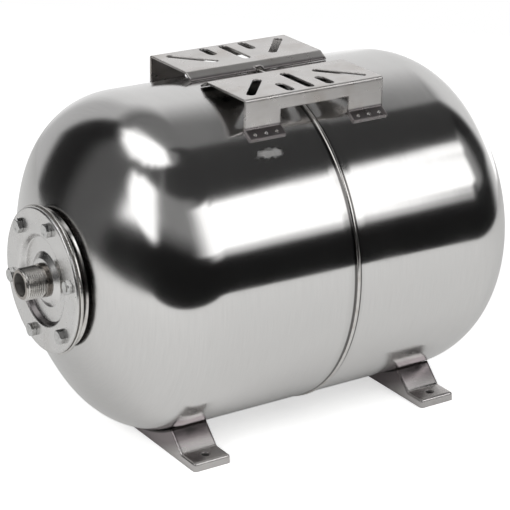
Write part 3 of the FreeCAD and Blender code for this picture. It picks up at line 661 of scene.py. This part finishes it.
@made_once("buffed_stainless_steel")
def polished_steel(context, tree):
    """Deep-drawn stainless, buffed round the axis: mirror-like across the marks, soft along them."""
    base = hue(context, "polished_steel")
    place, ring = polar(tree)
    # Buffing marks are about 0.1 mm apart; they are drawn at 0.7 mm, so that they show.
    marks = mottle(tree, ring, (1400.0, 1400.0, 5.0), 4.0, 0.6)
    clouds = mottle(tree, place, (22.0, 22.0, 22.0), 3.0)
    buffed = mottled_colour(tree, marks, 0.35, 0.7, base, shade(base, 0.93))
    # Painted shade: a dark line on the sheet at each toe of the seam bead, and a faint darker halo round
    # them, stand in for the shade beside the bead.
    station = add_node(tree, "SeparateXYZ", [place], output="X")
    front_toe_shade = painted_toe_shade(tree, station, SEAM_X - 3.5 * MM, 1.8 * MM)
    rear_toe_shade = painted_toe_shade(tree, station, SEAM_X + 2.7 * MM, 1.0 * MM)
    painted_seam_halo = band(tree, station, SEAM_X - 3.0 * MM, SEAM_X, 10.0 * MM, 8.0 * MM, 0.16)
    scale = hue(context, "painted_shade_black")
    tone = stained_and_shaded(tree, buffed, scale, [front_toe_shade, rear_toe_shade, painted_seam_halo])
    # The sheet swells and sinks a little round the barrel, as drawing and rolling leave it.
    waves = mottle(tree, ring, (14.0, 14.0, 1.6), 2.0)
    rubbed = {"Height": marks, "Distance": 0.00004, "Strength": 0.35}
    relief = add_node(tree, "Bump", rubbed)
    swell = {"Height": waves, "Distance": 0.0006, "Strength": 0.25, "Normal": relief}
    relief = add_node(tree, "Bump", swell)
    # The seam's weld has drawn the sheet in on both sides, which bends the reflections there.
    from_seam = add_node(tree, "Math", [station, SEAM_X], operation="SUBTRACT")
    from_seam = add_node(tree, "Math", [from_seam], operation="ABSOLUTE")
    drawn_in = add_node(
        tree, "MapRange", [from_seam, 0.0, 14.0 * MM, 0.0, 1.0], interpolation_type="SMOOTHSTEP")
    sunk = {"Height": drawn_in, "Distance": 0.00035, "Strength": 1.0, "Normal": relief}
    relief = add_node(tree, "Bump", sunk)
    scuffs = clamp_scuffs(tree, place, context.scene.tank_sizes)
    rough = add_node(tree, "MapRange", [clouds, 0.3, 0.7, 0.12, 0.155])
    rough = add_node(tree, "Math", [scuffs, 0.7, rough], operation="MULTIPLY_ADD")
    streaked = add_node(tree, "Math", [scuffs, -0.8, 0.82], operation="MULTIPLY_ADD")
    surface(tree, {
        "Base Color": tone, "Metallic": 1.0, "Roughness": rough, "Anisotropic": streaked,
        "Anisotropic Rotation": 0.25, "Tangent": round_axis(tree, place), "Normal": relief})


def brushed_sheet(context, tree, base, smoothest, dullest, tint_share, bands, bend):
    """Stainless sheet with a fine grain along X and faint clouds, darkened in bands round the tank's axis:
    painted shade on the flange's dish and the feet, and a darker brown along the shell on the brackets.

    A band is its inner and outer radius, the width of its soft edges, the height over the table
    above which it has faded, its colour and its share. The bend is how far its corners are softened.
    """
    place, ring = polar(tree)
    radius = add_node(tree, "SeparateXYZ", [ring], output="Y")
    height = add_node(tree, "SeparateXYZ", [place], output="Z")
    # Mill grain is 0.1 to 0.2 mm wide; it is drawn at 0.5 mm, so that it shows.
    grain = mottle(tree, place, (45.0, 2000.0, 2000.0), 4.0, 0.6)
    clouds = mottle(tree, place, (55.0, 55.0, 55.0), 4.0, 0.6)
    tint = mottle(tree, place, (30.0, 38.0, 34.0), 3.0)
    tone = mottled_colour(tree, grain, 0.3, 0.75, base, shade(base, 0.9))
    tinted = add_node(tree, "MapRange", [tint, 0.5, 0.75, 0.0, tint_share])
    tone = stained_and_shaded(tree, tone, hue(context, "heat_tint"), [tinted])
    for inner, outer, soft, top, stain_and_shade, share in bands:
        cover = band(tree, radius, inner, outer, soft, soft, share)
        fade = add_node(tree, "MapRange", [height, top - 28.0 * MM, top, 1.0, 0.0])
        cover = add_node(tree, "Math", [cover, fade], operation="MULTIPLY")
        tone = stained_and_shaded(tree, tone, stain_and_shade, [cover])
    # Presses leave soft bends and rubbed edges, wider than the sheet's own corners.
    worn = add_node(tree, "Bevel", {"Radius": bend}, samples=6)
    lined = {"Height": grain, "Distance": 0.000003, "Strength": 0.5, "Normal": worn}
    relief = add_node(tree, "Bump", lined)
    rough = add_node(tree, "MapRange", [clouds, 0.3, 0.7, smoothest, dullest])
    surface(tree, {"Base Color": tone, "Metallic": 1.0, "Roughness": rough, "Normal": relief})


@made_once("satin_stainless_sheet")
def sheet_steel(context, tree):
    """Cold-rolled stainless plate: satin, with a soft grain, and painted shade on the dish's wall, strongest
    on its lower part.
    """
    painted_dish_shade = shade(hue(context, "darkening_brown"), 0.35)
    # Painted shade on the wall of the pressed dish, fading out towards its top.
    bands = [(43.4 * MM, 46.6 * MM, 1.0 * MM, AXIS_HEIGHT + 6.0 * MM, painted_dish_shade, 0.85)]
    brushed_sheet(context, tree, hue(context, "sheet_steel"), 0.21, 0.31, 0.10, bands, 1.6 * MM)


@made_once("folded_stainless_brackets")
def bracket_steel_with_painted_shade(context, tree):
    """Stainless sheet folded into brackets, set a little darker as painted shade: satin, with rubbed and
    faintly browned patches, and darker and browner within a few millimetres of the shell.
    """
    shell = context.scene.tank_sizes.shell_diameter / 2
    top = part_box("left_pump_bracket")[1][2] + 30.0 * MM
    shell_side_brown = shade(hue(context, "darkening_brown"), 0.6)
    bands = [(shell - 5.0 * MM, shell + 3.0 * MM, 1.5 * MM, top, shell_side_brown, 0.8)]
    brushed_sheet(context, tree, hue(context, "bracket_steel_with_painted_shade"), 0.25, 0.34, 0.35, bands, 2.6 * MM)


@made_once("pressed_stainless_feet")
def foot_steel_with_painted_shade(context, tree):
    """The same sheet pressed into feet, set darker as painted shade: clean pads, painted shade above them,
    and a painted black shadow along their tops under the shell.
    """
    shell = context.scene.tank_sizes.shell_diameter / 2
    inner = shell - 12.0 * MM
    # Painted shade: brown up the feet's slopes, and black along their tops where they meet the shell.
    bands = [
        (inner, shell + 13.0 * MM, 11.0 * MM, AXIS_HEIGHT, hue(context, "darkening_brown"), 0.9),
        (inner, shell + 1.6 * MM, 1.2 * MM, AXIS_HEIGHT, hue(context, "painted_shade_black"), 0.9),
    ]
    brushed_sheet(context, tree, hue(context, "foot_steel_with_painted_shade"), 0.18, 0.28, 0.2, bands, 1.6 * MM)


@made_once("turned_stainless_steel")
def turned_steel(context, tree):
    """Lathe-cut stainless: faint rings from the tool, and browner towards its root."""
    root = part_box("water_nipple")[1][0] - context.scene.tank_sizes.flange_sheet
    warm = shade(hue(context, "heat_tint"), 0.45)
    lathe_cut(context, tree, root - 3.2 * MM, 1.0 * MM, warm, 0.75)


@made_once("welded_neck_steel")
def neck_steel(context, tree):
    """Lathe-cut stainless ring, black behind its rim as painted shade for the dark gap behind the flange."""
    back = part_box("neck_ring")[0][0] + 3.2 * MM
    # Painted shade: the ring is black from behind its rim onwards.
    scale = hue(context, "painted_shade_black")
    lathe_cut(context, tree, back, 0.15 * MM, scale, 1.0)


def lathe_cut(context, tree, start, soft, stain_and_shade, share):
    """Lathe-cut stainless that is darkened from a station on the axis onwards: browner on the nipple's root,
    and black as painted shade on the neck ring.
    """
    base = hue(context, "turned_steel")
    place, ring = polar(tree)
    # Tool feed is about 0.2 mm a turn; the rings are drawn at 0.4 mm.
    cuts = mottle(tree, ring, (2500.0, 2500.0, 0.8), 1.0)
    clouds = mottle(tree, place, (160.0, 160.0, 160.0), 3.0)
    station = add_node(tree, "SeparateXYZ", [place], output="X")
    # The nose keeps a trace of the sealant that it was tested with.
    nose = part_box("water_nipple")[0][0]
    sealed = band(tree, station, nose, nose + 0.2 * MM, 1.0 * MM, 0.6 * MM, 0.6)
    tint_and_painted_shade = band(tree, station, start, start + 100.0 * MM, soft, 1.0 * MM, share)
    tone = mottled_colour(tree, clouds, 0.35, 0.75, base, shade(base, 0.85))
    tone = stained_and_shaded(tree, tone, stain_and_shade, [tint_and_painted_shade, sealed])
    relief = add_node(tree, "Bump", {"Height": cuts, "Distance": 0.000004, "Strength": 0.6})
    # The bore is left as drilled, rougher than the turned outside.
    radius = add_node(tree, "SeparateXYZ", [ring], output="Y")
    bore = context.scene.tank_sizes.nipple_bore / 2
    drilled = band(tree, radius, 0.0, bore + 0.1 * MM, 1.0 * MM, 0.2 * MM, 0.42)
    rough = add_node(tree, "MapRange", [clouds, 0.3, 0.7, 0.2, 0.28])
    rough = add_node(tree, "Math", [drilled, rough], operation="MAXIMUM")
    surface(tree, {
        "Base Color": tone, "Metallic": 1.0, "Roughness": rough, "Anisotropic": 0.3,
        "Anisotropic Rotation": 0.25, "Tangent": round_axis(tree, place), "Normal": relief})


@made_once("wire_brushed_weld")
def weld_steel(context, tree):
    """Weld bead, wire-brushed after welding: rippled, with a trace of straw tint."""
    base = hue(context, "weld_steel")
    warm = hue(context, "heat_tint")
    place, ring = polar(tree)
    # Ripples of the torch lie about 1.5 mm apart round the seam.
    ripples = mottle(tree, ring, (300.0, 300.0, 110.0), 2.0)
    clouds = mottle(tree, place, (120.0, 120.0, 120.0), 3.0)
    tint = add_node(tree, "MapRange", [clouds, 0.45, 0.8, 0.0, 0.45])
    tone = stained_and_shaded(tree, (*base, 1.0), warm, [tint])
    rippled = {"Height": ripples, "Distance": 0.00004, "Strength": 0.6}
    relief = add_node(tree, "Bump", rippled)
    rough = add_node(tree, "MapRange", [clouds, 0.3, 0.7, 0.14, 0.22])
    surface(tree, {"Base Color": tone, "Metallic": 1.0, "Roughness": rough, "Normal": relief})


def small_finish(context, tree, setting, clouds, tone, roughness, inputs, marks=None):
    """Finish of a small piece: clouds set its colour and its roughness, and marks stand in relief.

    Clouds and marks are the coordinates they lie on, their cells to the metre and their detail, and
    marks also their depth and strength. Tone is where the clouds start and end to change the base,
    and by what factor; roughness is its lowest and highest value.
    """
    lies_on = dict(zip(("piece", "lathe"), polar(tree)))
    base = hue(context, setting)
    low, high, factor = tone
    patches = mottle(tree, lies_on[clouds[0]], *clouds[1:])
    inputs["Base Color"] = mottled_colour(tree, patches, low, high, base, shade(base, factor))
    inputs["Roughness"] = add_node(tree, "MapRange", [patches, 0.3, 0.7, *roughness])
    if marks:
        fine = mottle(tree, lies_on[marks[0]], *marks[1:-2])
        raised = {"Height": fine, "Distance": marks[-2], "Strength": marks[-1]}
        inputs["Normal"] = add_node(tree, "Bump", raised)
    surface(tree, inputs)


@made_once("zinc_plated_steel")
def bolt_steel(context, tree):
    """Zinc-plated steel: cool grey, with soft clouds and rubbed corners."""
    clouds = ("piece", (420.0, 420.0, 420.0), 4.0, 0.6)
    small_finish(
        context, tree, "bolt_steel", clouds, (0.35, 0.7, 0.75), (0.12, 0.2),
        {"Metallic": 1.0}, (*clouds, 0.00002, 0.4))


@made_once("turned_brass")
def valve_brass(context, tree):
    """Turned brass: yellow, with fine tool rings and slightly dulled patches."""
    small_finish(
        context, tree, "brass", ("piece", (500.0, 500.0, 500.0), 3.0),
        (0.4, 0.75, 0.65), (0.2, 0.34), {"Metallic": 1.0},
        ("lathe", (5200.0, 5200.0, 1.0), 2.0, 0.00002, 0.5))


@made_once("drawn_spring_wire")
def spring_wire(context, tree):
    """Drawn spring wire: dark bright-drawn steel with faint streaks."""
    small_finish(
        context, tree, "spring_steel", ("piece", (4000.0, 4000.0, 4000.0), 3.0),
        (0.35, 0.7, 0.6), (0.25, 0.4), {"Metallic": 1.0})


@made_once("moulded_polypropylene")
def cap_plastic(context, tree):
    """Moulded polypropylene: black, with a fine spark-eroded grain."""
    small_finish(
        context, tree, "cap", ("piece", (350.0, 350.0, 350.0), 3.0),
        (0.45, 0.75, 2.0), (0.38, 0.52), {"IOR": 1.49},
        ("piece", (3000.0, 3000.0, 3000.0), 3.0, 0.00005, 0.4))


@made_once("moulded_butyl_rubber")
def black_rubber(context, tree):
    """Moulded butyl rubber: near black, matt, with a faint bloom and fine grain."""
    base = hue(context, "rubber")
    pale = hue(context, "rubber_lip")
    place = add_node(tree, "TexCoord", output="Object")
    bloom = mottle(tree, place, (70.0, 70.0, 70.0), 4.0)
    grain = mottle(tree, place, (1500.0, 1500.0, 1500.0), 2.0)
    tone = mottled_colour(tree, bloom, 0.4, 0.75, base, shade(base, 2.4))
    # The lip's edge, pinched under the flange, is rubbed pale.
    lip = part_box("bladder")[0][0]
    station = add_node(tree, "SeparateXYZ", [place], output="X")
    tone = stained_and_shaded(tree, tone, pale, [band(tree, station, lip, lip + 1.4 * MM, 1.0 * MM, 0.4 * MM)])
    relief = add_node(tree, "Bump", {"Height": grain, "Distance": 0.0001, "Strength": 0.35})
    rough = add_node(tree, "MapRange", [bloom, 0.3, 0.7, 0.55, 0.72])
    surface(tree, {"Base Color": tone, "Roughness": rough, "IOR": 1.52, "Normal": relief})


# Studio

# Panels and flags round the tank, as ranges of azimuth and elevation in degrees, with
# the widths of their soft edges (left, right, low, high) and the brightness they show.
# Azimuth 0 looks from the tank along minus Y, and turns towards plus X.
PANELS = [
    ("rear_wall_top", 90, 206, 47, 62, (8, 6, 24, 8), 0.18),
    ("rear_wall_crown", 90, 196, 58, 91, (8, 6, 8, 1), 0.22),
    ("rear_left_haze", 168, 202, -9, 47, (16, 9, 4, 8), 0.60),
    ("dark_ceiling", -58, 92, 48, 91, (14, 6, 3, 1), 0.05),
    ("zenith", -60, 70, 78, 91, (12, 12, 5, 1), 0.25),
    ("zenith_left", -90, -24, 77.5, 91, (6, 44, 4, 1), 2.0),
    ("left_arch", -102, -58, 49, 74, (6, 10, 3, 6), 0.075),
    ("ceiling_panel", -151, -106, 55.5, 91, (8, 6, 6, 1), 2.0),
    ("ceiling_panel_low", -139, -110, 51, 60, (8, 12, 6, 1), 2.0),
    ("ceiling_panel_middle", -110, -91, 58, 91, (6, 6, 5, 1), 2.0),
    ("ceiling_panel_right", -94, -79, 63.5, 91, (6, 6, 5, 1), 2.0),
    ("ceiling_panel_end", -82, -64, 69, 91, (6, 8, 4, 1), 2.0),
    ("ceiling_panel_tip", -68, -47, 73.5, 91, (6, 10, 3, 1), 2.0),
    ("rear_left_flag", -163, -103, -9, 51.5, (9, 9, 4, 9), 0.12),
    ("rear_left_corner", -163, -136, -9, 52, (9, 16, 4, 8), 0.022),
    ("middle_wall", -64, 4, 12, 53, (8, 30, 3, 5), 0.31),
    ("middle_shade", -69, 6, 10, 25, (8, 30, 2, 18), 0.015),
    ("right_wall", 60, 95, 8, 51, (30, 8, 3, 3), 0.025),
    ("left_softbox", -100, -69, 15, 50, (6, 10, 4, 4), 2.0),
    ("left_softbox_corner", -108, -91, 46, 54, (4, 4, 4, 4), 0.09),
    ("key_softbox", 1, 56.5, 17, 47, (46, 3, 1.6, 1.4), 2.0),
    ("key_top_shade", 30, 92, 42.8, 53, (24, 4, 2.5, 2), 0.05),
    ("key_foot_shade", 40, 60, 10, 19.5, (6, 4, 2, 1.6), 0.03),
    ("key_softbox_corner", 51, 62, 12, 36, (4, 4, 2, 3), 0.3),
    ("front_flag", -108, 88, -30, 13.5, (6, 22, 1, 3), 0.012),
    ("front_flag_step", -70, 4, 10, 17, (6, 14, 1, 2), 0.012),
    ("low_rear_card", 106, 142, -14, 3, (10, 10, 2, 8), 2.2),
]


# Brightness of the surround where it has no panel.
OPEN_LEVEL = 0.92

# How bright the table shows to the eye over its own light, and in the tank's polish.
SEEN_GLOW = 0.57
MIRRORED_GLOW = 0.07


def soft_step(value, edge, width):
    """Smooth rise from 0 to 1 over a width centred on an edge."""
    share = min(1.0, max(0.0, (value - edge) / width + 0.5))
    return share * share * (3 - 2 * share)


def surround_level(azimuth, elevation):
    """Brightness that the surround shows in one direction."""
    level = OPEN_LEVEL
    for _, left, right, low, high, (soft_left, soft_right, soft_low, soft_high), value in PANELS:
        middle = (left + right) / 2
        reach = (right - left) / 2
        away = (azimuth - middle + 180) % 360 - 180
        cover = 1 - soft_step(abs(away), reach, soft_left if away < 0 else soft_right)
        cover *= soft_step(elevation, low, soft_low) * (1 - soft_step(elevation, high, soft_high))
        level += (value - level) * cover
    return level


def stage_piece(context, name, bm, material):
    """Turn a finished bmesh into an object of the stage."""
    mesh = to_mesh(name, bm)
    mesh.materials.append(material)
    obj = bpy.data.objects.new(name, mesh)
    context.scene.collection.objects.link(obj)
    return obj


def build_surround(context):
    """Panels and flags on one dome, seen only by reflections in the metal."""
    radius = context.scene.tank_studio.surround_radius
    bm = bmesh.new()
    bmesh.ops.create_uvsphere(bm, u_segments=300, v_segments=210, radius=radius)
    bmesh.ops.translate(bm, verts=bm.verts[:], vec=AXIS)
    bmesh.ops.reverse_faces(bm, faces=bm.faces[:])
    glow = bm.verts.layers.float.new("glow")
    for vert in bm.verts:
        ray = vert.co - AXIS
        azimuth = math.degrees(math.atan2(ray.x, -ray.y))
        elevation = math.degrees(math.asin(max(-1.0, min(1.0, ray.z / radius))))
        vert[glow] = surround_level(azimuth, elevation)
    material = bpy.data.materials.new("studio_panels")
    material.cycles.emission_sampling = "NONE"
    tree = clear_tree(material)
    level = add_node(tree, "Attribute", attribute_name="glow", output="Fac")
    glow = add_node(tree, "Emission", {"Strength": level})
    add_node(tree, "OutputMaterial", {"Surface": glow})
    obj = stage_piece(context, "studio_surround", bm, material)
    obj.visible_camera = False
    obj.visible_diffuse = False
    obj.visible_transmission = False
    obj.visible_shadow = False


def under_pads(tree, place):
    """1 under the two feet, where their bolt holes show the dark inside, and 0 on the open table."""
    front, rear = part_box("front_foot"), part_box("rear_foot")
    middle = (front[0][0] + rear[1][0]) / 2
    inset, soft = 4.0 * MM, 2.0 * MM
    folded = add_node(tree, "VectorMath", [place, (middle, 0.0, 0.0)], operation="SUBTRACT")
    folded = add_node(tree, "VectorMath", [folded], operation="ABSOLUTE")
    parts = add_node(tree, "SeparateXYZ", [folded], output=None)
    beside = band(tree, parts["X"], rear[0][0] - middle + inset, rear[1][0] - middle - inset, soft, soft)
    between = band(tree, parts["Y"], 0.0, rear[1][1] - inset, soft, soft)
    return add_node(tree, "Math", [beside, between], operation="MULTIPLY")


def build_floor(context):
    """Pale table with rounded corners, white to the eye, with the tank's soft shadow."""
    studio = context.scene.tank_studio
    width = studio.table_left + studio.table_right
    depth = studio.table_front + studio.table_back
    bm = bmesh.new()
    bmesh.ops.create_grid(bm, x_segments=1, y_segments=1, size=0.5)
    bmesh.ops.scale(bm, vec=(width, depth, 1.0), verts=bm.verts[:])
    bmesh.ops.bevel(
        bm, geom=bm.verts[:], offset=0.28, affect="VERTICES", segments=12, profile=0.5, material=-1)
    shift = ((studio.table_right - studio.table_left) / 2, (studio.table_back - studio.table_front) / 2, 0.0)
    bmesh.ops.translate(bm, verts=bm.verts[:], vec=shift)
    bmesh.ops.rotate(
        bm, verts=bm.verts[:], cent=(0.0, 0.0, 0.0), matrix=Matrix.Rotation(studio.table_turn, 3, "Z"))
    material = bpy.data.materials.new("matt_white_table")
    tree = clear_tree(material)
    place = add_node(tree, "TexCoord", output="Object")
    grain = mottle(tree, place, (60.0, 60.0, 60.0), 3.0)
    base = tuple(studio.floor_colour)
    tone = mottled_colour(tree, grain, 0.0, 1.0, base, shade(base, 0.985))
    matt = add_node(tree, "BsdfDiffuse", {"Color": tone})
    rays = add_node(tree, "LightPath", output=None)
    mirrored = add_node(
        tree, "Math", [rays["Is Glossy Ray"], rays["Is Transmission Ray"]], operation="MAXIMUM")
    mirrored = add_node(tree, "Math", [mirrored, MIRRORED_GLOW], operation="MULTIPLY")
    in_the_open = add_node(tree, "Math", [1.0, under_pads(tree, place)], operation="SUBTRACT")
    seen = add_node(tree, "Math", [rays["Is Camera Ray"], in_the_open], operation="MULTIPLY")
    lift = add_node(tree, "Math", [seen, SEEN_GLOW, mirrored], operation="MULTIPLY_ADD")
    glow = add_node(tree, "Emission", {"Strength": lift})
    both = add_node(tree, "AddShader", [matt, glow])
    add_node(tree, "OutputMaterial", {"Surface": both})
    stage_piece(context, "studio_table", bm, material)


def build_room(context):
    """White background, with a gentler light from the room on the table."""
    context.scene.world = bpy.data.worlds.new("studio_room")
    tree = clear_tree(context.scene.world)
    rays = add_node(tree, "LightPath", output=None)
    seen = rays["Is Camera Ray"]
    for kind in ("Is Glossy Ray", "Is Transmission Ray"):
        seen = add_node(tree, "Math", [seen, rays[kind]], operation="MAXIMUM")
    level = add_node(tree, "MapRange", [seen, 0.0, 1.0, context.scene.tank_studio.room_level, 1.0])
    glow = add_node(tree, "Background", {"Color": (1.0, 1.0, 1.0, 1.0), "Strength": level})
    add_node(tree, "OutputWorld", {"Surface": glow})


def soft_lamp(context, name, place, width, height, power):
    """Large area lamp aimed at the tank, not seen in its polish."""
    data = bpy.data.lights.new(name, "AREA")
    data.shape = "RECTANGLE"
    data.size = width
    data.size_y = height
    data.energy = power
    obj = bpy.data.objects.new(name, data)
    context.scene.collection.objects.link(obj)
    obj.location = place
    obj.rotation_euler = (AXIS - Vector(place)).to_track_quat("-Z", "Y").to_euler()
    obj.visible_glossy = False


def view_axes(studio):
    """Right, up and back directions of the camera."""
    azimuth, elevation, roll = studio.view_azimuth, studio.view_elevation, studio.view_roll
    level = Vector((math.cos(azimuth), math.sin(azimuth), 0.0))
    back = Vector((level.y, -level.x, math.tan(elevation))).normalized()
    up = back.cross(level)
    right = level * math.cos(roll) + up * math.sin(roll)
    return right, back.cross(right), back


def build_camera(context):
    """Camera at the photograph's angle, looking at the middle of the seam."""
    studio = context.scene.tank_studio
    right, up, back = view_axes(studio)
    data = bpy.data.cameras.new("product_camera")
    data.sensor_width = 36.0
    data.lens = studio.view_lens
    data.shift_x = studio.view_shift_x
    data.shift_y = studio.view_shift_y
    data.clip_end = 50.0
    obj = bpy.data.objects.new("product_camera", data)
    context.scene.collection.objects.link(obj)
    turn_to = Matrix((right, up, back)).transposed().to_4x4()
    target = Vector((SEAM_X, 0.0, AXIS_HEIGHT))
    obj.matrix_world = Matrix.Translation(target + back * studio.view_distance) @ turn_to
    context.scene.camera = obj


class TANK_OT_studio(bpy.types.Operator):
    """Set up the table, the panels, the lamps and the camera"""
    bl_idname = "tank.studio"
    bl_label = "Studio"

    def execute(self, context):
        studio = context.scene.tank_studio
        context.scene.view_settings.view_transform = "Standard"
        build_camera(context)
        build_room(context)
        build_floor(context)
        build_surround(context)
        soft_lamp(context, "key_lamp", (0.7, -1.6, 1.9), 1.6, 1.2, studio.key_power)
        soft_lamp(context, "fill_lamp", (-2.2, -0.4, 1.4), 1.2, 1.2, studio.fill_power)
        return {"FINISHED"}


class TANK_PT_panel(bpy.types.Panel):
    """Lists the tank's pieces and settings"""
    bl_label = "Well pressure tank"
    bl_idname = "TANK_PT_panel"
    bl_space_type = "VIEW_3D"
    bl_region_type = "UI"
    bl_category = "Tank"

    def draw(self, context):
        layout = self.layout
        for operator in PIECES:
            layout.operator(operator.bl_idname)
        for settings in (context.scene.tank_sizes, context.scene.tank_finishes, context.scene.tank_studio):
            box = layout.box()
            for name in settings.__annotations__:
                box.prop(settings, name)


SETTINGS = {"tank_sizes": TankSizes, "tank_finishes": TankFinishes, "tank_studio": StudioSettings}
PIECES = (
    TANK_OT_studio,
    TANK_OT_shell,
    TANK_OT_seam,
    TANK_OT_neck,
    TANK_OT_nipple,
    TANK_OT_bolts,
    TANK_OT_brackets,
    TANK_OT_feet,
    TANK_OT_air_valve,
)


def register():
    for name, group in SETTINGS.items():
        bpy.utils.register_class(group)
        setattr(bpy.types.Scene, name, PointerProperty(type=group))
    for operator in PIECES:
        bpy.utils.register_class(operator)
    bpy.utils.register_class(TANK_PT_panel)


def unregister():
    bpy.utils.unregister_class(TANK_PT_panel)
    for operator in reversed(PIECES):
        bpy.utils.unregister_class(operator)
    for name, group in reversed(SETTINGS.items()):
        delattr(bpy.types.Scene, name)
        bpy.utils.unregister_class(group)


def main():
    register()
    bpy.ops.tank.studio()
    bpy.ops.tank.shell()
    bpy.ops.tank.seam()
    bpy.ops.tank.neck()
    bpy.ops.tank.nipple()
    bpy.ops.tank.bolts()
    bpy.ops.tank.brackets()
    bpy.ops.tank.feet()
    bpy.ops.tank.air_valve()


if __name__ == "__main__":
    main()
